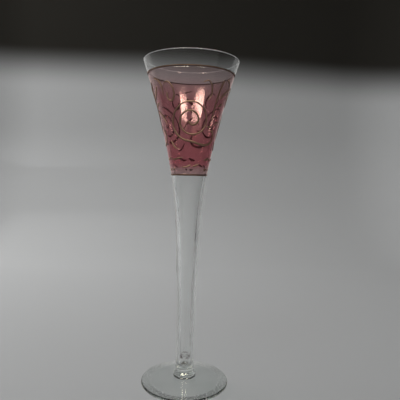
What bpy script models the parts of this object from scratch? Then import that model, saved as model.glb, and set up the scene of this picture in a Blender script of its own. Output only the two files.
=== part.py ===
"""A tall trumpet champagne flute with a hollow stem, a rose-stained bowl and raised gold scrollwork.

Metres, +Z up. The origin is where the flute's axis meets the table, under the middle of the foot.
Azimuth 0 faces -Y and grows towards +X. Heights and radii are given in millimetres and scaled by MM.
"""

import math

import bpy

MM = 0.001

# Driving dimensions, in millimetres
HEIGHT = 240.0
RIM_RADIUS = 35.2
FOOT_RADIUS = 32.75
BAND_BOTTOM = 156.6
BAND_TOP = 229.6
STEM_FOOT = 8.4
BORE_BOTTOM = 11.5

# The outer side of the stem and the bowl, as (height, radius)
OUTER = (
    (0.0, 6.9),
    (30.0, 6.75),
    (60.0, 7.05),
    (95.0, 8.1),
    (125.0, 9.3),
    (145.0, 11.25),
    (160.0, 13.7),
    (180.0, 17.8),
    (205.0, 24.0),
    (HEIGHT, RIM_RADIUS),
)
# The thickness of the glass, as (height, wall)
WALL = (
    (12.0, 3.05),
    (60.0, 3.1),
    (95.0, 3.0),
    (125.0, 2.5),
    (150.0, 2.15),
    (180.0, 1.8),
    (210.0, 1.45),
    (HEIGHT, 1.2),
)

# Gaps that keep touching pieces apart
JOINT_GAP = 0.3
COAT_GAP = 0.1

# The foot and the wafer of glass that joins it to the stem
FOOT_CENTRE = 6.0
FOOT_EDGE = 2.0
FOOT_RING_INNER = 25.0
FOOT_HOLLOW = 2.2
WAFER_RADIUS = 8.2
WAFER_UNDER = FOOT_CENTRE + JOINT_GAP
WAFER_TOP = STEM_FOOT - JOINT_GAP

# The fired decoration
STAIN_THICKNESS = 0.12
GOLD_THICKNESS = 0.4
LINE_WIDTH = 0.9
STROKE_RADIUS = 0.4

BOWL_SEGMENTS = 48
STEM_SEGMENTS = 32
BOWL_ROW = 8.5
STEM_ROW = 10.0
MERGE = 0.00001

# Strokes of one motif, as (azimuth in degrees, height in millimetres), and the share of
# STROKE_RADIUS that they have at their start, middle and end
STROKES = {
    "stalk": (((42, 196), (44, 202), (45, 208.5), (47, 215.5), (50.5, 222.8)), (0.9, 1.6, 1.6)),
    "leaf_long": (((50, 210.5), (58, 213.2), (69, 218.3)), (0.8, 2.1, 1.1)),
    "leaf_short": (((50, 205.0), (56, 206.6), (63, 207.8)), (0.8, 1.8, 0.8)),
    "leaf_low": (((53, 193.0), (60, 194.5), (67, 195.0)), (0.7, 1.7, 0.8)),
    "mid_dash": (((34, 191.6), (39, 190.9), (46, 191.8)), (0.7, 1.4, 0.6)),
    "comma": (((-60.5, 223.8), (-51.5, 221.8), (-46.5, 217.6), (-46, 212)), (0.8, 1.5, 0.6)),
    "upper_curl": (
        ((-41.5, 219.2), (-35, 220.2), (-28, 217.2), (-26, 211.6), (-31, 207.8), (-38, 209.4), (-38, 213.6)),
        (0.7, 1.2, 1.3),
    ),
    "upper_hook": (((17, 219.6), (24, 221), (30.5, 218), (32.5, 212.4), (28, 208.4)), (0.7, 1.3, 0.7)),
    "sweep": (((-76, 202.4), (-67, 200.6), (-58, 197.2), (-50, 192.3)), (1.0, 1.7, 0.8)),
    "left_hook": (((-46, 181.6), (-40, 177.8), (-33, 175.8), (-25, 175.6)), (0.6, 1.3, 0.6)),
    "low_left": (((-51, 168.6), (-42, 168.0), (-31, 169.0), (-18, 169.4)), (1.1, 1.3, 0.6)),
    "low_line": (((-21, 162.6), (-8, 163.0), (3, 164.4)), (0.6, 1.2, 0.6)),
    "low_middle": (((9, 163.4), (17, 163.8), (27, 165.2)), (0.7, 1.5, 0.6)),
    "low_right": (((41, 168.2), (51, 168.4), (62, 170.0)), (0.8, 1.9, 1.0)),
    "low_comma": (((47, 161.8), (53, 160.8), (60, 161.4)), (0.8, 1.7, 0.9)),
    "low_tick": (((-53, 160.6), (-46, 161.8)), (0.7, 1.3, 0.7)),
}
# The strokes that each motif leaves out, where the edge of the next motif takes their place
LEFT_OUT = {"a": (), "b": ("sweep", "leaf_low"), "c": ("leaf_low",)}
# How far round the bowl a stroke strays from the rest of its motif, in degrees
STRAYED = {("stalk", "c"): -7, ("leaf_long", "c"): -7, ("leaf_short", "c"): -7, ("sweep", "c"): 5}

# The large spiral of one motif, wound inwards and clockwise from its lowest point, and the curled
# tail that leads into it
TAIL = (
    (46, 188.2), (52, 188.4), (57, 185.6), (56, 181.8), (48, 179.4), (36, 178.5), (24, 178.8), (12, 179.8),
)
SPIRAL_CENTRE = (2.0, 195.0)
SPIRAL_OUTER = 14.2
SPIRAL_INNER = 1.6
SPIRAL_EASE = 1.25
SPIRAL_START = math.radians(270)
SPIRAL_END = math.radians(-520)
SPIRAL_POINTS = 46
SPIRAL_SHARES = (1.8, 1.1, 1.4)
POINTS_PER_STROKE_LEG = 3


def between(stations, height):
    """The value at a height, on a smooth curve through (height, value) stations."""
    heights = [station[0] for station in stations]
    values = [station[1] for station in stations]
    leg = 0
    while leg < len(stations) - 2 and height > heights[leg + 1]:
        leg += 1

    def slope(i):
        low, high = max(i - 1, 0), min(i + 1, len(stations) - 1)
        return (values[high] - values[low]) / (heights[high] - heights[low])

    span = heights[leg + 1] - heights[leg]
    t = (height - heights[leg]) / span
    return (
        values[leg] * (1 + 2 * t) * (1 - t) ** 2
        + values[leg + 1] * t * t * (3 - 2 * t)
        + slope(leg) * span * t * (1 - t) ** 2
        - slope(leg + 1) * span * t * t * (1 - t)
    )


def outer_radius(height):
    return between(OUTER, height)


def inner_radius(height):
    return outer_radius(height) - between(WALL, height)


def rows(low, high, step):
    """Evenly spaced heights from low to high, about a step apart."""
    count = max(1, round((high - low) / step))
    return [low + (high - low) * i / count for i in range(count + 1)]


def arc(centre, radii, start, end, count):
    """Points on an ellipse arc, as (radius, height), with its angles in degrees from outwards."""
    turns = [math.radians(start + (end - start) * i / count) for i in range(count + 1)]
    return [(centre[0] + radii[0] * math.cos(a), centre[1] + radii[1] * math.sin(a)) for a in turns]


def material(name, colour, roughness, metallic=0.0, transmission=0.0):
    made = bpy.data.materials.new(name)
    made.use_nodes = True
    made.diffuse_color = (*colour, 1.0)
    shader = made.node_tree.nodes["Principled BSDF"]
    shader.inputs["Base Color"].default_value = (*colour, 1.0)
    shader.inputs["Roughness"].default_value = roughness
    shader.inputs["Metallic"].default_value = metallic
    shader.inputs["Transmission Weight"].default_value = transmission
    return made


def clear_glass(name):
    return material(name, (0.93, 0.97, 0.95), 0.02, transmission=1.0)


def rose_stain(name):
    return material(name, (0.62, 0.18, 0.30), 0.12, transmission=0.8)


def burnished_gold(name):
    return material(name, (0.42, 0.30, 0.12), 0.35, metallic=0.9)


def add(name, data, collection, parent, finish):
    """One named piece, with a material of its own."""
    piece = bpy.data.objects.new(name, data)
    collection.objects.link(piece)
    piece.parent = parent
    if not data.materials:
        data.materials.append(finish(name))
    return piece


def screw(piece, segments):
    """Turns a piece's profile about the Z axis."""
    turn = piece.modifiers.new("turn", "SCREW")
    turn.axis = "Z"
    turn.angle = math.tau
    turn.steps = segments
    turn.render_steps = segments
    turn.use_merge_vertices = True
    turn.merge_threshold = MERGE
    turn.use_smooth_shade = True


def turned(name, outline, segments, collection, parent, finish, closed):
    """A turned piece. The outline is (radius, height) points that run down the piece's outer side."""
    edges = [(i, i + 1) for i in range(len(outline) - 1)]
    if closed:
        edges.append((len(outline) - 1, 0))
    mesh = bpy.data.meshes.new(name)
    mesh.from_pydata([(radius * MM, 0, height * MM) for radius, height in outline], edges, [])
    piece = add(name, mesh, collection, parent, finish)
    screw(piece, segments)
    return piece


def make_bowl(collection, parent):
    """The blown bowl: a flared wall with a fire-polished rim, open at both ends."""
    lip = between(WALL, HEIGHT) / 2
    lip_height = HEIGHT - lip
    heights = rows(BAND_BOTTOM + JOINT_GAP / 2, lip_height, BOWL_ROW)
    outer = [(outer_radius(h), h) for h in reversed(heights)]
    inner = [(inner_radius(h), h) for h in heights]
    over_lip = arc((inner_radius(lip_height) + lip, lip_height), (lip, lip), 135, 45, 2)
    turned("bowl", over_lip + outer + inner, BOWL_SEGMENTS, collection, parent, clear_glass, True)


def make_stem(collection, parent):
    """The drawn hollow stem: its bore opens into the bowl and ends in a round bottom over a solid plug."""
    top = BAND_BOTTOM - JOINT_GAP / 2
    bore = inner_radius(BORE_BOTTOM + 4)
    bottom = arc((0, BORE_BOTTOM + bore), (bore, bore), -90, -18, 4)
    bottom[0] = (0, BORE_BOTTOM)
    inner = [(inner_radius(h), h) for h in rows(BORE_BOTTOM + bore, top, STEM_ROW)]
    outer = [(outer_radius(h), h) for h in reversed(rows(STEM_FOOT, top, STEM_ROW))]
    outline = bottom + inner + outer + [(0, STEM_FOOT)]
    turned("stem", outline, STEM_SEGMENTS, collection, parent, clear_glass, False)


def make_wafer(collection, parent):
    """The wafer: a small round button of glass that joins the stem's end to the foot."""
    half = (WAFER_TOP - WAFER_UNDER) / 2
    edge = arc((WAFER_RADIUS - half, WAFER_UNDER + half), (half, half), 90, -90, 4)
    outline = [(0, WAFER_TOP)] + edge + [(0, WAFER_UNDER)]
    turned("wafer", outline, STEM_SEGMENTS, collection, parent, clear_glass, False)


def foot_top(radius):
    """The height of the foot's upper side, which rises in a shallow cone and flattens at the middle."""
    share = radius / (FOOT_RADIUS - FOOT_EDGE / 2)
    return FOOT_CENTRE - (FOOT_CENTRE - FOOT_EDGE) * share**1.3


def make_foot(collection, parent):
    """The foot: a round disc with a rounded edge, which stands on a flat ring round a shallow hollow."""
    half = FOOT_EDGE / 2
    rim = FOOT_RADIUS - half
    upper = [(radius, foot_top(radius)) for radius in (0, WAFER_RADIUS, 14, 20, 26)]
    edge = arc((rim, half), (half, half), 90, -90, 6)
    under = [(FOOT_RING_INNER, 0.0)]
    for radius in (20, 13, 6, 0):
        under.append((radius, FOOT_HOLLOW * (1 - (radius / FOOT_RING_INNER) ** 2)))
    turned("foot", upper + edge + under, BOWL_SEGMENTS, collection, parent, clear_glass, False)


def make_stain(collection, parent):
    """The rose stain: a thin skin fired on to the outside of the bowl, between the two gold lines."""
    margin = LINE_WIDTH / 2 + COAT_GAP
    heights = rows(BAND_BOTTOM + LINE_WIDTH + 2 * COAT_GAP, BAND_TOP - margin, BOWL_ROW)
    points = [((outer_radius(h) + COAT_GAP) * MM, 0, h * MM) for h in reversed(heights)]
    mesh = bpy.data.meshes.new("rose_band")
    mesh.from_pydata(points, [(i, i + 1) for i in range(len(points) - 1)], [])
    piece = add("rose_band", mesh, collection, parent, rose_stain)
    screw(piece, BOWL_SEGMENTS)
    skin = piece.modifiers.new("skin", "SOLIDIFY")
    skin.thickness = STAIN_THICKNESS * MM
    skin.offset = 1.0


def make_gold_line(name, middle, collection, parent):
    """A gold line round the bowl, domed and lying along the slope of the glass."""
    low, high = middle - LINE_WIDTH / 2, middle + LINE_WIDTH / 2
    crown = outer_radius(middle) + COAT_GAP + GOLD_THICKNESS
    outline = [
        (outer_radius(high) + COAT_GAP, high),
        (crown + (outer_radius(high) - outer_radius(middle)) / 2, middle + LINE_WIDTH / 4),
        (crown + (outer_radius(low) - outer_radius(middle)) / 2, middle - LINE_WIDTH / 4),
        (outer_radius(low) + COAT_GAP, low),
    ]
    turned(name, outline, BOWL_SEGMENTS, collection, parent, burnished_gold, True)


def on_bowl(azimuth, height, stroke_radius):
    """A point for the middle of a stroke that lies on the stained bowl, in metres."""
    turn = math.radians(azimuth)
    coats = 2 * COAT_GAP + STAIN_THICKNESS
    radius = outer_radius(height) + coats + stroke_radius
    return radius * math.sin(turn) * MM, -radius * math.cos(turn) * MM, height * MM


def through(points):
    """A finer row of points on a smooth curve through these ones."""
    fine = []
    for i in range(len(points) - 1):
        before, start = points[max(i - 1, 0)], points[i]
        end, after = points[i + 1], points[min(i + 2, len(points) - 1)]
        for step in range(POINTS_PER_STROKE_LEG):
            t = step / POINTS_PER_STROKE_LEG
            fine.append(
                tuple(
                    b
                    + (c - a) * t / 2
                    + (2 * a - 5 * b + 4 * c - d) * t * t / 2
                    + (3 * b - a - 3 * c + d) * t**3 / 2
                    for a, b, c, d in zip(before, start, end, after)
                )
            )
    fine.append(points[-1])
    return fine


def stroke_curve(name, route, shares):
    """A round stroke along a route of (azimuth in degrees, height), swelling as three shares say."""
    curve = bpy.data.curves.new(name, "CURVE")
    curve.dimensions = "3D"
    curve.bevel_depth = STROKE_RADIUS * MM
    curve.bevel_resolution = 1
    curve.use_fill_caps = True
    spline = curve.splines.new("POLY")
    spline.points.add(len(route) - 1)
    for i, (azimuth, height) in enumerate(route):
        along = 2 * i / (len(route) - 1)
        first, last = (shares[0], shares[1]) if along < 1 else (shares[1], shares[2])
        share = first + (last - first) * (along % 1 if along < 2 else 1)
        spline.points[i].co = (*on_bowl(azimuth, height, STROKE_RADIUS * share), 1)
        spline.points[i].radius = share
    return curve


def spiral_route():
    """The spiral and its tail, as (azimuth in degrees, height)."""
    route = []
    for i in range(SPIRAL_POINTS):
        t = i / (SPIRAL_POINTS - 1)
        turn = SPIRAL_START + (SPIRAL_END - SPIRAL_START) * t
        reach = SPIRAL_OUTER + (SPIRAL_INNER - SPIRAL_OUTER) * t**SPIRAL_EASE
        height = SPIRAL_CENTRE[1] + reach * math.sin(turn)
        across = reach * math.cos(turn) / outer_radius(height)
        route.append((SPIRAL_CENTRE[0] + math.degrees(across), height))
    return through(TAIL + (route[0],)) + route[1:]


def motif_curves():
    """The strokes of one motif, by name."""
    curves = {"spiral": stroke_curve("spiral", spiral_route(), SPIRAL_SHARES)}
    for name, (points, shares) in STROKES.items():
        curves[name] = stroke_curve(name, through(points), shares)
    return curves


def make_scrollwork(collection, parent):
    """The raised gold scrollwork: one motif, three times round the bowl."""
    curves = motif_curves()
    for repeat, letter in enumerate(LEFT_OUT):
        place = bpy.data.objects.new("motif_" + letter, None)
        collection.objects.link(place)
        place.parent = parent
        place.rotation_euler.z = math.tau * repeat / len(LEFT_OUT)
        for name, curve in curves.items():
            if name not in LEFT_OUT[letter]:
                stroke = add(f"gold_{name}_{letter}", curve, collection, place, burnished_gold)
                stroke.rotation_euler.z = math.radians(STRAYED.get((name, letter), 0))


def main():
    for old in list(bpy.data.objects):
        bpy.data.objects.remove(old)
    collection = bpy.data.collections.new("champagne_flute")
    bpy.context.scene.collection.children.link(collection)
    flute = bpy.data.objects.new("flute", None)
    collection.objects.link(flute)
    make_bowl(collection, flute)
    make_stem(collection, flute)
    make_wafer(collection, flute)
    make_foot(collection, flute)
    make_stain(collection, flute)
    make_gold_line("upper_gold_line", BAND_TOP, collection, flute)
    make_gold_line("lower_gold_line", BAND_BOTTOM + LINE_WIDTH / 2, collection, flute)
    make_scrollwork(collection, flute)


main()
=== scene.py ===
"""Looks for a tall trumpet champagne flute: clear blown glass, rose-stained bowl, raised gold scrollwork.

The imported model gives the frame. Heights and radii below are in millimetres and scaled by MM.
Azimuth 0 faces -Y and grows towards +X.
"""

import math

import bmesh
import bpy
from mathutils import Matrix, Vector, noise


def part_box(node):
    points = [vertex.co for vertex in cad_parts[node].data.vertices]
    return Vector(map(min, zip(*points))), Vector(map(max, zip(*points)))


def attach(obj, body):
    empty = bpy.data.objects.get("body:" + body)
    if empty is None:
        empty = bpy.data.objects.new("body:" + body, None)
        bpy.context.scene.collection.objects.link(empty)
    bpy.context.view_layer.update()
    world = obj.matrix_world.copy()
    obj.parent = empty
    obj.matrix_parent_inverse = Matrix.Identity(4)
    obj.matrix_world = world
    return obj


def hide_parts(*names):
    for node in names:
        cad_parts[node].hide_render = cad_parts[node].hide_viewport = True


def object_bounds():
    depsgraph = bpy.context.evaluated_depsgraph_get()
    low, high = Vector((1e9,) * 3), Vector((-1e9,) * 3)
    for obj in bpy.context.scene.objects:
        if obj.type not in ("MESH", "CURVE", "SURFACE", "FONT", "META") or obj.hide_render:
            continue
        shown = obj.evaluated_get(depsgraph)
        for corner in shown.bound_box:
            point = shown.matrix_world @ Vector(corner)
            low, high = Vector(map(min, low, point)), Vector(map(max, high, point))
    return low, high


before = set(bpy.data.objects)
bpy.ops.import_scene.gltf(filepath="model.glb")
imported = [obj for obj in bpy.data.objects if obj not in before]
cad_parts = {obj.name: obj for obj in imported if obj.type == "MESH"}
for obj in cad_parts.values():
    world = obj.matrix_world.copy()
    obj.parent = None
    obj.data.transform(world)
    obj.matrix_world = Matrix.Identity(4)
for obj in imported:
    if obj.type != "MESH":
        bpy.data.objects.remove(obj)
cad_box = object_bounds()

MM = 0.001
HEIGHT = cad_box[1].z / MM
BAND_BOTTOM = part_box("rose_band")[0].z / MM
BAND_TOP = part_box("rose_band")[1].z / MM
FOOT_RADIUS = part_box("foot")[1].x / MM
WAFER_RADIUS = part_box("wafer")[1].x / MM
UPPER_LINE = [corner.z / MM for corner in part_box("upper_gold_line")]
LOWER_LINE = [corner.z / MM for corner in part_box("lower_gold_line")]

# The outer side of the stem and the bowl, as (height, radius)
OUTER = (
    (0.0, 6.9),
    (30.0, 6.75),
    (60.0, 7.05),
    (95.0, 8.1),
    (125.0, 9.3),
    (145.0, 11.25),
    (160.0, 13.7),
    (180.0, 17.8),
    (205.0, 24.0),
    (240.0, 35.2),
)
# The thickness of the glass, as (height, wall)
WALL = (
    (12.0, 3.05),
    (60.0, 3.1),
    (95.0, 3.0),
    (125.0, 2.5),
    (150.0, 2.15),
    (180.0, 1.8),
    (210.0, 1.45),
    (240.0, 1.2),
)
BORE_BOTTOM = 11.5
FOOT_CENTRE = 6.0
FOOT_EDGE = 2.0
FOOT_RING_INNER = 25.0
FOOT_HOLLOW = 2.2
STEM_FOOT = 8.4
# The radius of the bore's round bottom is read this far up
BORE_END = 4

# The rounded places between the foot, the wafer and the stem, and the margins beside them
RING_MARGIN = 1.2
SKIRT_INNER = 9.4
SKIRT_MARGIN = 1.6
FILLET_CENTRE = 9.0
FILLET = (1.2, 1.05)
BUTTON_ROUND = 0.9
NECK_ROUND = 1.5
NECK_LEVEL = 2.2
NECK_TOP = 2.4

# How finely the glass and what lies on it are turned
SEGMENTS = 224
ROW = 1.6
FOOT_ROW = 1.8
MERGE = 1e-7
# A close row beside the lip keeps its rounding out of the shading of the wall
LIP_GUARD = 0.25

# How far a hand-blown wall strays from true, outside and in the bore
OUTER_WANDER = 0.04
INNER_WANDER = 0.05
WANDER_LENGTH = 90.0
# Sets the bore's wander apart from the outside's
BORE_SHIFT = 7
# The foot and wafer stay true, and the wander fades in above them
TRUE_BELOW = 8
FADE_IN = 12

# The decoration, as heights above the glass
STAIN_GAP = 0.03
STAIN_THICKNESS = 0.04
GOLD_LIFT = 0.1
LINE_RISE = 0.26
STROKE_RISE = 0.34

# How wide a stroke is to each side, and how finely strokes are drawn
STROKE_HALF_WIDTH = 0.5
STROKE_SIDES = 12
POINTS_PER_LEG = 9

# How a gold line swells and drifts, and how a stroke's width and rise waver, as shares or in
# millimetres, with how closely the changes follow one another
LINE_SWELL = 0.16
LINE_SWELL_PACE = 9
LINE_DRIFT = 0.12
LINE_DRIFT_PACE = 2.5
WIDTH_WAVER = 0.18
WIDTH_WAVER_LENGTH = 2.2
RISE_WAVER = 0.15
RISE_WAVER_LENGTH = 3.0
# Sets a line's drift apart from its swell, and each motif's strokes apart from the next one's
DRIFT_SHIFT = 5
MOTIF_SHIFT = 31
# The width and the rise that a stroke keeps at its tips, as shares
TIP_WIDTH = 0.12
TIP_RISE = 0.25

# Strokes of one motif, as (azimuth in degrees, height), and the share of STROKE_HALF_WIDTH that
# they have at their start, middle and end
STROKES = {
    "stalk": (((42, 196), (44, 202), (45, 208.5), (47, 215.5), (50.5, 222.8)), (0.9, 1.6, 1.6)),
    "leaf_long": (((50, 210.5), (58, 213.2), (69, 218.3)), (0.8, 2.1, 1.1)),
    "leaf_short": (((50, 205.0), (56, 206.6), (63, 207.8)), (0.8, 1.8, 0.8)),
    "leaf_low": (((53, 193.0), (60, 194.5), (67, 195.0)), (0.7, 1.7, 0.8)),
    "mid_dash": (((34, 191.6), (39, 190.9), (46, 191.8)), (0.7, 1.4, 0.6)),
    "comma": (((-60.5, 223.8), (-51.5, 221.8), (-46.5, 217.6), (-46, 212)), (0.8, 1.5, 0.6)),
    "upper_curl": (
        ((-41.5, 219.2), (-35, 220.2), (-28, 217.2), (-26, 211.6), (-31, 207.8), (-38, 209.4), (-38, 213.6)),
        (0.7, 1.2, 1.3),
    ),
    "upper_hook": (((17, 219.6), (24, 221), (30.5, 218), (32.5, 212.4), (28, 208.4)), (0.7, 1.3, 0.7)),
    "sweep": (((-76, 202.4), (-67, 200.6), (-58, 197.2), (-50, 192.3)), (1.0, 1.7, 0.8)),
    "left_hook": (((-46, 181.6), (-40, 177.8), (-33, 175.8), (-25, 175.6)), (0.6, 1.3, 0.6)),
    "low_left": (((-51, 168.6), (-42, 168.0), (-31, 169.0), (-18, 169.4)), (1.1, 1.3, 0.6)),
    "low_line": (((-21, 162.6), (-8, 163.0), (3, 164.4)), (0.6, 1.2, 0.6)),
    "low_middle": (((9, 163.4), (17, 163.8), (27, 165.2)), (0.7, 1.5, 0.6)),
    "low_right": (((41, 168.2), (51, 168.4), (62, 170.0)), (0.8, 1.9, 1.0)),
    "low_comma": (((47, 161.8), (53, 160.8), (60, 161.4)), (0.8, 1.7, 0.9)),
    "low_tick": (((-53, 160.6), (-46, 161.8)), (0.7, 1.3, 0.7)),
}
# The strokes that each motif leaves out, where the edge of the next motif takes their place
LEFT_OUT = {"a": (), "b": ("sweep", "leaf_low"), "c": ("leaf_low",)}
# How far round the bowl a stroke strays from the rest of its motif, in degrees
STRAYED = {("stalk", "c"): -7, ("leaf_long", "c"): -7, ("leaf_short", "c"): -7, ("sweep", "c"): 5}

# The large spiral of one motif, wound inwards and clockwise from its lowest point, and the curled
# tail that leads into it
TAIL = (
    (46, 188.2), (52, 188.4), (57, 185.6), (56, 181.8), (48, 179.4), (36, 178.5), (24, 178.8), (12, 179.8),
)
SPIRAL_CENTRE = (2.0, 195.0)
SPIRAL_OUTER = 14.2
SPIRAL_INNER = 1.6
SPIRAL_EASE = 1.25
SPIRAL_START = math.radians(270)
SPIRAL_END = math.radians(-520)
SPIRAL_POINTS = 150
SPIRAL_SHARES = (1.8, 1.1, 1.4)

# Painted shade low in the bore, in place of the dark surroundings that its round bottom refracts: how far
# from the axis it reaches, and its heights
BORE_SHADE_REACH = (4.6, 4.2)
BORE_SHADE_BOTTOM = (10, 11)
BORE_SHADE_POOL = (15.5, 13)
BORE_SHADE_RING = ((18.5, 20), (22.5, 21))

# Where the stain thins out: below its top, over the bowl's middle and above its bottom
STAIN_TOP = (BAND_TOP - 2, BAND_TOP - 18)
STAIN_MIDDLE = (195, 172)
STAIN_BOTTOM = (BAND_BOTTOM + 1, BAND_BOTTOM + 9)
STAIN_MIDDLE_SHARE = 0.28

# The stage and its black card, in millimetres
STAGE_HALF = 640
STAGE_CORNER = 300
STAGE_COVE = 260
STAGE_HEIGHT = 900
STAGE_GAP = 0.05
COVE_SEGMENTS = 16
# Painted shade on the backdrop: the heights over which it darkens towards the top, and how much lower it
# starts towards the right
DARK_TOP = (338, 434)
DARK_SLANT = 0.05
FLAG_SIZE = 420
FLAG_DISTANCE = 420
FLAG_AZIMUTH = 92

# Soft lamps, as (azimuth, elevation, distance, width, height, power, mirrored), with angles in
# degrees and sizes in metres. They face a point on the flute's axis.
LAMPS = {
    "window_left": (-29, 39, 0.95, 0.56, 0.30, 8.2, True),
    "window_right": (28, 41, 0.95, 0.335, 0.19, 3.6, True),
    "ceiling": (0, 90, 1.3, 1.6, 1.6, 3.2, False),
    "front": (-20, 40, 1.2, 1.0, 1.0, 4.3, False),
    "side_left": (-118, 28, 1.0, 0.5, 0.9, 9.0, False),
}
LAMP_AIM = 0.2
MIRRORED_COLOUR = (1.0, 0.96, 0.76)
PLAIN_COLOUR = (1.0, 1.0, 1.0)

# The pale part of the room that the flute reflects: behind it, low down, dimmer at the right
ROOM_BEHIND = (0.30, 0.48)
ROOM_HIGH = (0.12, 0.26)
ROOM_RIGHT = (0.3, 0.8)
ROOM_RIGHT_DIMMING = 0.85

# The camera, in metres, degrees and, for the lens, millimetres
CAMERA_PLACE = (0, -0.3155, 0.15757)
CAMERA_YAW = -1.558
CAMERA_DOWN = 3.42
CAMERA_ROLL = 1.434
CAMERA_LENS = 38.16
CAMERA_SENSOR = 36.0


# ---------------------------------------------------------------- the flute's form


def between(stations, height):
    """The value at a height, on a smooth curve through (height, value) stations."""
    heights = [station[0] for station in stations]
    values = [station[1] for station in stations]
    leg = 0
    while leg < len(stations) - 2 and height > heights[leg + 1]:
        leg += 1

    def slope(i):
        low, high = max(i - 1, 0), min(i + 1, len(stations) - 1)
        return (values[high] - values[low]) / (heights[high] - heights[low])

    span = heights[leg + 1] - heights[leg]
    t = (height - heights[leg]) / span
    return (
        values[leg] * (1 + 2 * t) * (1 - t) ** 2
        + values[leg + 1] * t * t * (3 - 2 * t)
        + slope(leg) * span * t * (1 - t) ** 2
        - slope(leg + 1) * span * t * t * (1 - t)
    )


def outer_radius(height):
    return between(OUTER, height)


def inner_radius(height):
    return outer_radius(height) - between(WALL, height)


def lean(height):
    """How much the outer side widens over a millimetre of height."""
    return outer_radius(height + 0.5) - outer_radius(height - 0.5)


def foot_top(radius):
    """The height of the foot's upper side, which rises in a shallow cone and flattens at the middle."""
    share = radius / (FOOT_RADIUS - FOOT_EDGE / 2)
    return FOOT_CENTRE - (FOOT_CENTRE - FOOT_EDGE) * share**1.3


def rows(low, high, step):
    """Evenly spaced heights from low to high, about a step apart."""
    count = max(1, round((high - low) / step))
    return [low + (high - low) * i / count for i in range(count + 1)]


def arc(centre, radii, start, end, count):
    """Points on an ellipse arc, as (radius, height), with its angles in degrees from outwards."""
    turns = [math.radians(start + (end - start) * i / count) for i in range(count + 1)]
    return [(centre[0] + radii[0] * math.cos(a), centre[1] + radii[1] * math.sin(a)) for a in turns]


def wander(x, y, z, inside):
    """How far the glass strays from true at a point in metres, in millimetres."""
    around = Vector((x, y, 0)).normalized()
    shift = Vector((0, 0, BORE_SHIFT if inside else 0))
    place = Vector((around.x, around.y, z / (WANDER_LENGTH * MM))) + shift
    return noise.noise(place) * (INNER_WANDER if inside else OUTER_WANDER)


def on_glass(azimuth, height, lift):
    """A point above the outer side of the glass, in metres, and the outward normal there."""
    turn = math.radians(azimuth)
    outwards = Vector((math.sin(turn), -math.cos(turn), 0))
    normal = Vector((outwards.x, outwards.y, -lean(height))).normalized()
    radius = outer_radius(height) + wander(outwards.x, outwards.y, height * MM, False)
    return outwards * radius * MM + Vector((0, 0, height * MM)) + normal * lift * MM, normal


# ---------------------------------------------------------------- making pieces


def piece(name, mesh, finish, slot, *stands_for):
    """Puts a finished mesh in the scene as one piece of the flute."""
    made = bpy.data.objects.new(name, mesh)
    bpy.context.scene.collection.objects.link(made)
    made.data.materials.append(finish)
    mesh.shade_smooth()
    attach(made, "root")
    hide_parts(*stands_for)


def spun(outline, closed):
    """A bmesh of an outline of (radius, height) points, turned about the flute's axis."""
    bm = bmesh.new()
    corners = [bm.verts.new((0, -radius * MM, height * MM)) for radius, height in outline]
    edges = [bm.edges.new(pair) for pair in zip(corners, corners[1:])]
    if closed:
        edges.append(bm.edges.new((corners[-1], corners[0])))
    bmesh.ops.spin(
        bm,
        geom=corners + edges,
        cent=(0, 0, 0),
        axis=(0, 0, 1),
        angle=math.tau,
        steps=SEGMENTS,
        use_merge=True,
    )
    bmesh.ops.remove_doubles(bm, verts=bm.verts, dist=MERGE)
    bmesh.ops.recalc_face_normals(bm, faces=bm.faces)
    return bm


def stray(bm, is_inside):
    """Moves a turned piece's points in or out as a hand-blown wall wanders."""
    for corner in bm.verts:
        x, y, z = corner.co
        radius = math.hypot(x, y)
        if radius < MM:
            continue
        inside = is_inside(radius / MM, z / MM)
        fade = min(1.0, max(0.0, (z / MM - TRUE_BELOW) / FADE_IN))
        push = wander(x, y, z, inside) * fade * MM / radius
        corner.co.x += x * push
        corner.co.y += y * push


def to_mesh(bm, name):
    mesh = bpy.data.meshes.new(name)
    bm.to_mesh(mesh)
    bm.free()
    return mesh


# ---------------------------------------------------------------- glass, stain and gold lines


def glass_outline():
    """The glass from the middle of its underside, round the foot, up the outside and down the bore."""
    half = FOOT_EDGE / 2
    edge = FOOT_RADIUS - half
    across = rows(0, FOOT_RING_INNER, FOOT_ROW)
    under = [(radius, FOOT_HOLLOW * (1 - (radius / FOOT_RING_INNER) ** 2)) for radius in across]
    ring = [(radius, 0) for radius in rows(FOOT_RING_INNER + RING_MARGIN, edge, FOOT_ROW)]
    round_edge = arc((edge, half), (half, half), -72, 90, 9)
    across = reversed(rows(SKIRT_INNER, edge - SKIRT_MARGIN, ROW))
    skirt = [(radius, foot_top(radius)) for radius in across]
    waist = foot_top(FILLET_CENTRE) + FILLET[1]
    into_foot = arc((FILLET_CENTRE, waist), FILLET, 262, 194, 5)
    middle = (WAFER_RADIUS - BUTTON_ROUND, (FOOT_CENTRE + STEM_FOOT) / 2)
    button = arc(middle, (BUTTON_ROUND, BUTTON_ROUND), -62, 42, 8)
    stem = outer_radius(STEM_FOOT + NECK_LEVEL)
    neck = arc((stem + NECK_ROUND, STEM_FOOT + NECK_ROUND), (NECK_ROUND, NECK_ROUND), 228, 182, 5)
    lip = between(WALL, HEIGHT) / 2
    lip_height = HEIGHT - lip
    heights = rows(STEM_FOOT + NECK_TOP, lip_height - LIP_GUARD, ROW) + [lip_height]
    outside = [(outer_radius(h), h) for h in heights]
    over = arc((outer_radius(lip_height) - lip, lip_height), (lip, lip), 22, 158, 6)
    bore = inner_radius(BORE_BOTTOM + BORE_END)
    heights = rows(BORE_BOTTOM + bore, lip_height - LIP_GUARD, ROW) + [lip_height]
    inside = [(inner_radius(h), h) for h in reversed(heights)]
    bottom = arc((0, BORE_BOTTOM + bore), (bore, bore), -8, -90, 9)
    bottom[-1] = (0, BORE_BOTTOM)
    return under + ring + round_edge + skirt + into_foot + button + neck + outside + over + inside + bottom


def in_the_bore(radius, height):
    if height < BORE_BOTTOM:
        return False
    return radius < outer_radius(height) - between(WALL, height) / 2


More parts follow.
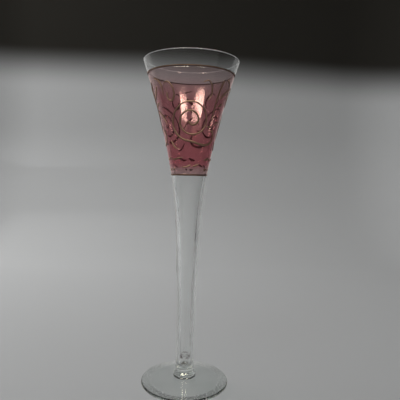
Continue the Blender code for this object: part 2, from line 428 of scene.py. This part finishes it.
def make_glass(finish):
    """The blown glass. The bowl, stem, wafer and foot are fused hot, so they are one wall here."""
    bm = spun(glass_outline(), False)
    stray(bm, in_the_bore)
    piece("glass", to_mesh(bm, "glass"), finish, "clear_glass", "bowl", "stem", "wafer", "foot")


def make_stain(finish):
    """The rose stain: a film on the outside of the bowl between the gold lines."""
    heights = rows(LOWER_LINE[1], UPPER_LINE[0], ROW)
    under = [(outer_radius(h) + STAIN_GAP, h) for h in heights]
    over = [(outer_radius(h) + STAIN_GAP + STAIN_THICKNESS, h) for h in reversed(heights)]
    bm = spun(over + under, True)
    stray(bm, lambda radius, height: False)
    piece("rose_stain", to_mesh(bm, "rose_stain"), finish, "rose_stain", "rose_band")


def make_line(name, heights, seed, finish):
    """A raised gold line round the bowl, brushed on with a slightly uneven edge."""
    middle, half = sum(heights) / 2, (heights[1] - heights[0]) / 2
    foot = outer_radius(middle) + STAIN_GAP
    dome = arc((foot, middle), (LINE_RISE, half), -90, 90, 8)
    outline = [(radius + (height - middle) * lean(middle), height) for radius, height in dome]
    bm = spun(outline, True)
    crown = bm.verts.layers.float.new("crown")
    for corner in bm.verts:
        around = Vector((corner.co.x, corner.co.y, 0)).normalized()
        corner[crown] = max(0.0, 1 - abs(corner.co.z / MM - middle) / half)
        swell = 1 + LINE_SWELL * noise.noise(around * LINE_SWELL_PACE + Vector((0, 0, seed)))
        drift = LINE_DRIFT * noise.noise(around * LINE_DRIFT_PACE + Vector((0, 0, seed + DRIFT_SHIFT)))
        corner.co.z = (middle + (corner.co.z / MM - middle) * swell + drift) * MM
    stray(bm, lambda radius, height: False)
    piece(name, to_mesh(bm, name), finish, "burnished_gold", name)


# ---------------------------------------------------------------- raised gold scrollwork


def through(points, count=POINTS_PER_LEG):
    """A finer row of points on a smooth curve through these ones."""
    fine = []
    for i in range(len(points) - 1):
        before, start = points[max(i - 1, 0)], points[i]
        end, after = points[i + 1], points[min(i + 2, len(points) - 1)]
        for step in range(count):
            t = step / count
            fine.append(
                tuple(
                    b
                    + (c - a) * t / 2
                    + (2 * a - 5 * b + 4 * c - d) * t * t / 2
                    + (3 * b - a - 3 * c + d) * t**3 / 2
                    for a, b, c, d in zip(before, start, end, after)
                )
            )
    fine.append(points[-1])
    return fine


def spiral_route():
    """The spiral and its tail, as (azimuth in degrees, height)."""
    route = []
    for i in range(SPIRAL_POINTS):
        t = i / (SPIRAL_POINTS - 1)
        turn = SPIRAL_START + (SPIRAL_END - SPIRAL_START) * t
        reach = SPIRAL_OUTER + (SPIRAL_INNER - SPIRAL_OUTER) * t**SPIRAL_EASE
        height = SPIRAL_CENTRE[1] + reach * math.sin(turn)
        across = reach * math.cos(turn) / outer_radius(height)
        route.append((SPIRAL_CENTRE[0] + math.degrees(across), height))
    return through(TAIL + (route[0],)) + route[1:]


def width_share(along, shares):
    """A stroke's width at a share of its length: eased through three shares."""
    half = 0 if along < 0.5 else 1
    first, last, t = shares[half], shares[half + 1], along * 2 - half
    return first + (last - first) * t * t * (3 - 2 * t)


def stroke_steps(route, shares, seed):
    """Where a stroke's round section goes along its route, turned and scaled, as matrices."""
    places, normals = zip(*[on_glass(azimuth, height, GOLD_LIFT) for azimuth, height in route])
    run = [0.0]
    for here, there in zip(places, places[1:]):
        run.append(run[-1] + (there - here).length)
    steps = []
    for i, (place, normal) in enumerate(zip(places, normals)):
        ahead, behind = places[min(i + 1, len(places) - 1)], places[max(i - 1, 0)]
        along = (ahead - behind).normalized()
        side = along.cross(normal).normalized()
        half = STROKE_HALF_WIDTH * MM * width_share(run[i] / run[-1], shares)
        half *= 1 + WIDTH_WAVER * noise.noise(place / (WIDTH_WAVER_LENGTH * MM) + Vector((seed, 0, 0)))
        from_end = min(run[i], run[-1] - run[i]) / half
        tip = math.sqrt(max(0.0, 1 - (1 - min(1.0, from_end)) ** 2))
        half *= TIP_WIDTH + (1 - TIP_WIDTH) * tip
        waver = 1 + RISE_WAVER * noise.noise(place / (RISE_WAVER_LENGTH * MM))
        rise = STROKE_RISE * MM * (TIP_RISE + (1 - TIP_RISE) * tip) * waver
        columns = (side * half, normal * rise, along * half)
        turned = Matrix([[*row] for row in zip(*columns)]).to_4x4()
        steps.append(Matrix.Translation(place) @ turned)
    return steps


def stroke_mesh(name, steps):
    """A domed brush stroke of gold that lies on the bowl, with round ends."""
    bm = bmesh.new()
    crown = bm.verts.layers.float.new("crown")
    ring = bmesh.ops.create_circle(bm, cap_ends=False, radius=1.0, segments=STROKE_SIDES)["verts"]
    for corner in ring:
        corner[crown] = max(0.0, corner.co.y)
        corner.co.y = max(0.0, corner.co.y)
    edges = list(bm.edges)
    first = edges
    bmesh.ops.transform(bm, matrix=steps[0], verts=ring)
    for before, after in zip(steps, steps[1:]):
        grown = bmesh.ops.extrude_edge_only(bm, edges=edges)["geom"]
        ring = [part for part in grown if isinstance(part, bmesh.types.BMVert)]
        edges = [part for part in grown if isinstance(part, bmesh.types.BMEdge)]
        edges = [edge for edge in edges if all(end in ring for end in edge.verts)]
        bmesh.ops.transform(bm, matrix=after @ before.inverted(), verts=ring)
    bmesh.ops.edgeloop_fill(bm, edges=first)
    bmesh.ops.edgeloop_fill(bm, edges=edges)
    bmesh.ops.recalc_face_normals(bm, faces=bm.faces)
    return to_mesh(bm, name)


def make_scrollwork(finish):
    """The raised gold scrollwork: one motif three times round the bowl, each a little different."""
    routes = {"spiral": (spiral_route(), SPIRAL_SHARES)}
    for name, (points, shares) in STROKES.items():
        routes[name] = (through(points), shares)
    for repeat, letter in enumerate(LEFT_OUT):
        turn = 360 * repeat / len(LEFT_OUT)
        for name, (route, shares) in routes.items():
            if name in LEFT_OUT[letter]:
                continue
            full = f"gold_{name}_{letter}"
            strayed = turn + STRAYED.get((name, letter), 0)
            moved = [(azimuth + strayed, height) for azimuth, height in route]
            steps = stroke_steps(moved, shares, repeat * MOTIF_SHIFT + len(name))
            mesh = stroke_mesh(full, steps)
            piece(full, mesh, finish, "burnished_gold", full)


# ---------------------------------------------------------------- materials


class Value:
    """A number in a material, which Python's operators turn into Math nodes."""

    def __init__(self, finish, socket):
        self.finish, self.socket = finish, socket

    def maths(self, operation, other):
        return self.finish.node("ShaderNodeMath", {"operation": operation}, {0: self, 1: other})

    def __add__(self, other):
        return self.maths("ADD", other)

    def __sub__(self, other):
        return self.maths("SUBTRACT", other)

    def __rsub__(self, other):
        return (self * -1) + other

    def __mul__(self, other):
        return self.maths("MULTIPLY", other)

    def __pow__(self, other):
        return self.maths("POWER", other)

    def between(self, low, high):
        """0 below low and 1 above high, with a smooth step between."""
        settings = {"interpolation_type": "SMOOTHSTEP"}
        values = {"Value": self, "From Min": low, "From Max": high}
        return self.finish.node("ShaderNodeMapRange", settings, values)

    __radd__ = __add__
    __rmul__ = __mul__


class Finish:
    """A material or a world being wired up."""

    def __init__(self, owner):
        self.owner = owner
        owner.use_nodes = True
        self.tree = owner.node_tree
        self.tree.nodes.clear()

    def node(self, kind, settings=None, values=None, output=0):
        """Makes a node, sets it up, feeds its sockets and gives one of its outputs as a Value."""
        made = self.tree.nodes.new(kind)
        for name, setting in (settings or {}).items():
            setattr(made, name, setting)
        for name, value in (values or {}).items():
            if isinstance(value, Value):
                self.tree.links.new(value.socket, made.inputs[name])
            else:
                made.inputs[name].default_value = value
        return Value(self, made.outputs[output])

    def place(self):
        """Object coordinates in metres."""
        return self.node("ShaderNodeTexCoord", output="Object")

    def part(self, vector, axis):
        """One of a vector's three numbers."""
        return self.node("ShaderNodeSeparateXYZ", values={0: vector}, output=axis)

    def height(self):
        """The height above the table, in millimetres."""
        return self.part(self.place(), "Z") * (1 / MM)

    def cloud(self, scale, detail=3.0, roughness=0.5, stretch=(1, 1, 1)):
        """Noise from 0 to 1, with scale patches in a metre."""
        spot = self.node("ShaderNodeMapping", values={"Vector": self.place(), "Scale": stretch})
        sizes = {"Vector": spot, "Scale": scale, "Detail": detail, "Roughness": roughness}
        return self.node("ShaderNodeTexNoise", values=sizes)

    def blend(self, share, first, second):
        """A colour that goes from first to second as share goes from 0 to 1."""
        colours = {"Factor": share, 6: first, 7: second}
        return self.node("ShaderNodeMix", {"data_type": "RGBA"}, colours, output=2)

    def show(self, surface, volume=None, kind="ShaderNodeOutputMaterial"):
        end = self.tree.nodes.new(kind)
        self.tree.links.new(surface.socket, end.inputs["Surface"])
        if volume is not None:
            self.tree.links.new(volume.socket, end.inputs["Volume"])
        return self.owner


def clear_glass():
    """Clear soda glass: hardly tinted, smeared, worn under the foot, with painted shade low in the bore."""
    finish = Finish(bpy.data.materials.new("clear_glass"))
    smear = finish.cloud(55, 5.0, 0.65, (1, 1, 0.35)).between(0.5, 0.75)
    worn = 1 - finish.height().between(0.02, 0.12)
    scratch = finish.cloud(900, 2.0, 0.6).between(0.42, 0.62)
    across, deep = finish.part(finish.place(), "X"), finish.part(finish.place(), "Y")
    # Painted shade: dark, speckled patches low in the bore, in place of the dark surroundings that its round
    # bottom refracts
    in_bore = (across * across + deep * deep).between(*[(reach * MM) ** 2 for reach in BORE_SHADE_REACH])
    height = finish.height()
    ring = height.between(*BORE_SHADE_RING[0]) * height.between(*BORE_SHADE_RING[1])
    low = height.between(*BORE_SHADE_POOL) + ring
    specks = finish.cloud(260, 3.0, 0.6).between(0.44, 0.60)
    painted_bore_shade = in_bore * height.between(*BORE_SHADE_BOTTOM) * low * specks
    glass = finish.node(
        "ShaderNodeBsdfPrincipled",
        values={
            # The dark colour is the painted shade low in the bore
            "Base Color": finish.blend(painted_bore_shade, (0.995, 0.998, 0.995, 1), (0.13, 0.09, 0.085, 1)),
            "Roughness": smear * 0.012 + worn * scratch * 0.3,
            "IOR": 1.5,
            "Transmission Weight": 1.0,
        },
    )
    open_way = finish.node("ShaderNodeBsdfTransparent", values={"Color": (0.965, 0.975, 0.97, 1)})
    lamp_ray = finish.node("ShaderNodeLightPath", output="Is Shadow Ray")
    room_ray = finish.node("ShaderNodeLightPath", output="Is Diffuse Ray")
    straight = lamp_ray.maths("MAXIMUM", room_ray)
    surface = finish.node("ShaderNodeMixShader", values={0: straight, 1: glass, 2: open_way})
    depth = finish.node(
        "ShaderNodeVolumeAbsorption", values={"Color": (0.74, 0.84, 0.78, 1), "Density": 10.0}
    )
    return finish.show(surface, depth)


def rose_stain():
    """The rose stain: deeper low on the bowl, thin and mauve at its top, cloudy, with a soft lustre."""
    finish = Finish(bpy.data.materials.new("rose_stain"))
    height = finish.height()
    cloud = finish.cloud(70, 4.0, 0.55, (1, 1, 0.6))
    upper = height.between(*STAIN_TOP) * (1 - STAIN_MIDDLE_SHARE)
    depth = upper + height.between(*STAIN_MIDDLE) * STAIN_MIDDLE_SHARE
    depth = depth * height.between(*STAIN_BOTTOM)
    patchy = (depth * 0.92 + (cloud - 0.5) * 0.6).between(0.0, 1.0)
    thin = finish.node("ShaderNodeBsdfTransparent", values={"Color": (0.905, 0.806, 0.806, 1)})
    deep = finish.node("ShaderNodeBsdfTransparent", values={"Color": (0.885, 0.65, 0.675, 1)})
    stain = finish.node("ShaderNodeMixShader", values={0: patchy, 1: thin, 2: deep})
    lustre = finish.node(
        "ShaderNodeBsdfGlossy", values={"Color": (1.0, 0.93, 0.93, 1), "Roughness": 0.12}
    )
    facing = finish.node("ShaderNodeLayerWeight", values={"Blend": 0.5}, output="Facing")
    surface = finish.node("ShaderNodeMixShader", values={0: facing**5 * 0.9 + 0.03, 1: stain, 2: lustre})
    return finish.show(surface)


def burnished_gold():
    """Raised gold, old and half dull: dark at its flanks, brighter where its crown is rubbed."""
    finish = Finish(bpy.data.materials.new("burnished_gold"))
    crown = finish.node("ShaderNodeAttribute", {"attribute_name": "crown"}, output="Fac")
    grain = finish.cloud(900, 4.0, 0.6)
    patch = finish.cloud(160, 3.0, 0.5)
    rubbed = (crown * 0.8 + (patch - 0.5) * 0.9).between(0.3, 0.9)
    colour = finish.blend(rubbed, (0.22, 0.12, 0.09, 1), (0.60, 0.38, 0.27, 1))
    metal = crown.between(0.0, 0.2)
    colour = finish.blend(crown.between(0.1, 0.85), (0.045, 0.024, 0.018, 1), colour)
    bump = finish.node(
        "ShaderNodeBump", values={"Strength": 0.35, "Distance": 0.0001, "Height": grain}, output="Normal"
    )
    surface = finish.node(
        "ShaderNodeBsdfPrincipled",
        values={
            "Base Color": colour,
            "Metallic": metal * 0.75,
            "Roughness": 1.0 - metal * 0.38 - rubbed * 0.24 + (grain - 0.5) * 0.2,
            "Normal": bump,
        },
    )
    return finish.show(surface)


def backdrop_with_painted_shade():
    """Pale matt paint with painted shade: it darkens softly towards the top of the backdrop, lower down at
    its right, in place of an unlit room above.
    """
    finish = Finish(bpy.data.materials.new("backdrop"))
    across = finish.part(finish.place(), "X") * (1 / MM)
    # Painted shade: the backdrop darkens towards its top, lower down towards the right
    top = (finish.height() + across.maths("MAXIMUM", 0.0) * DARK_SLANT).between(*DARK_TOP)
    colour = finish.blend(top, (0.55, 0.555, 0.555, 1), (0.03, 0.028, 0.024, 1))
    surface = finish.node("ShaderNodeBsdfDiffuse", values={"Color": colour})
    return finish.show(surface)


# ---------------------------------------------------------------- stage, lamps and camera


def round_off(bm, edges, radius):
    bmesh.ops.bevel(
        bm, geom=edges, offset=radius * MM, affect="EDGES", segments=COVE_SEGMENTS, profile=0.5, material=-1
    )


def make_stage():
    """A floor that curves up into a backdrop on all four sides, so that every view is alike."""
    bm = bmesh.new()
    bmesh.ops.create_cube(bm, size=1)
    bmesh.ops.scale(bm, vec=Vector((2 * STAGE_HALF, 2 * STAGE_HALF, STAGE_HEIGHT)) * MM, verts=bm.verts)
    bmesh.ops.translate(bm, vec=(0, 0, STAGE_HEIGHT * MM / 2), verts=bm.verts)
    lid = [face for face in bm.faces if face.normal.z > 0.5]
    bmesh.ops.delete(bm, geom=lid, context="FACES")
    uprights = [edge for edge in bm.edges if abs(edge.verts[0].co.z - edge.verts[1].co.z) > MM]
    round_off(bm, uprights, STAGE_CORNER)
    ground = [edge for edge in bm.edges if all(end.co.z < MM for end in edge.verts)]
    round_off(bm, ground, STAGE_COVE)
    bmesh.ops.reverse_faces(bm, faces=bm.faces)
    bmesh.ops.translate(bm, vec=(0, 0, -STAGE_GAP * MM), verts=bm.verts)
    stage = bpy.data.objects.new("stage", to_mesh(bm, "stage"))
    bpy.context.scene.collection.objects.link(stage)
    stage.data.materials.append(backdrop_with_painted_shade())
    stage.data.shade_smooth()
    stage.visible_glossy = False
    stage.visible_shadow = False


def make_flag():
    """A black card that shows only in and through the flute, and draws dark lines down its edges."""
    bm = bmesh.new()
    bmesh.ops.create_grid(bm, x_segments=1, y_segments=1, size=0.5)
    bmesh.ops.scale(bm, vec=Vector((FLAG_SIZE, FLAG_SIZE, 1)) * MM, verts=bm.verts)
    bmesh.ops.rotate(bm, matrix=Matrix.Rotation(math.pi / 2, 3, "X"), verts=bm.verts)
    bmesh.ops.translate(bm, vec=Vector((0, FLAG_DISTANCE, FLAG_SIZE / 2)) * MM, verts=bm.verts)
    bmesh.ops.rotate(bm, matrix=Matrix.Rotation(math.radians(FLAG_AZIMUTH - 180), 3, "Z"), verts=bm.verts)
    flag = bpy.data.objects.new("flag", to_mesh(bm, "flag"))
    bpy.context.scene.collection.objects.link(flag)
    black = Finish(bpy.data.materials.new("black_card"))
    flag.data.materials.append(
        black.show(black.node("ShaderNodeBsdfDiffuse", values={"Color": (0.02, 0.02, 0.02, 1)}))
    )
    flag.visible_camera = False
    flag.visible_diffuse = False
    flag.visible_shadow = False


def softbox(name, azimuth, elevation, distance, width, height, power, mirrored):
    """A soft lamp on its azimuth and elevation, which faces the flute.

    A mirrored lamp is only for the flute to reflect. The others only light the scene.
    """
    turn, rise = math.radians(azimuth), math.radians(elevation)
    way = Vector((math.sin(turn) * math.cos(rise), -math.cos(turn) * math.cos(rise), math.sin(rise)))
    lamp = bpy.data.lights.new(name, "AREA")
    lamp.shape = "RECTANGLE"
    lamp.size, lamp.size_y = width, height
    lamp.energy = power
    lamp.color = MIRRORED_COLOUR if mirrored else PLAIN_COLOUR
    made = bpy.data.objects.new(name, lamp)
    bpy.context.scene.collection.objects.link(made)
    made.location = Vector((0, 0, LAMP_AIM)) + way * distance
    made.rotation_euler = (-way).to_track_quat("-Z", "Y").to_euler()
    made.visible_camera = False
    made.visible_glossy = mirrored
    made.visible_transmission = mirrored
    made.visible_diffuse = not mirrored


def light_the_stage():
    """The lamps, and a room that shows only in the flute's reflections."""
    for name, facts in LAMPS.items():
        softbox(name, *facts)
    room = Finish(bpy.data.worlds.new("room"))
    way = room.node("ShaderNodeTexCoord", output="Generated")
    behind = room.part(way, "Y").between(*ROOM_BEHIND)
    below = 1 - room.part(way, "Z").between(*ROOM_HIGH)
    right = room.part(way, "X").between(*ROOM_RIGHT)
    share = behind * below * (1 - right * ROOM_RIGHT_DIMMING)
    colour = room.blend(share, (0.03, 0.03, 0.03, 1), (0.52, 0.51, 0.49, 1))
    glow = room.node("ShaderNodeBackground", values={"Color": colour})
    bpy.context.scene.world = room.show(glow, kind="ShaderNodeOutputWorld")
    room.owner.cycles_visibility.diffuse = False


def make_camera():
    """The camera in front of the flute, a little above its middle, turned slightly to its right."""
    lens = bpy.data.cameras.new("camera")
    lens.lens = CAMERA_LENS
    lens.sensor_width = CAMERA_SENSOR
    lens.clip_start = 0.01
    camera = bpy.data.objects.new("camera", lens)
    bpy.context.scene.collection.objects.link(camera)
    yaw = Matrix.Rotation(math.radians(CAMERA_YAW), 3, "Z")
    pitch = Matrix.Rotation(math.radians(90 - CAMERA_DOWN), 3, "X")
    roll = Matrix.Rotation(math.radians(CAMERA_ROLL), 3, "Z")
    camera.rotation_euler = (yaw @ pitch @ roll).to_euler()
    camera.location = CAMERA_PLACE
    bpy.context.scene.camera = camera


def set_up_rendering():
    """Enough bounces for light to pass every wall of the glass."""
    scene = bpy.context.scene
    scene.cycles.max_bounces = 32
    scene.cycles.transmission_bounces = 24
    scene.cycles.transparent_max_bounces = 32
    scene.cycles.glossy_bounces = 8
    scene.cycles.caustics_reflective = False
    scene.cycles.caustics_refractive = False
    scene.cycles.use_denoising = True
    scene.view_settings.view_transform = "Standard"


def main():
    gold = burnished_gold()
    make_glass(clear_glass())
    make_stain(rose_stain())
    make_line("upper_gold_line", UPPER_LINE, 1, gold)
    make_line("lower_gold_line", LOWER_LINE, 2, gold)
    make_scrollwork(gold)
    make_stage()
    make_flag()
    light_the_stage()
    make_camera()
    set_up_rendering()


main()
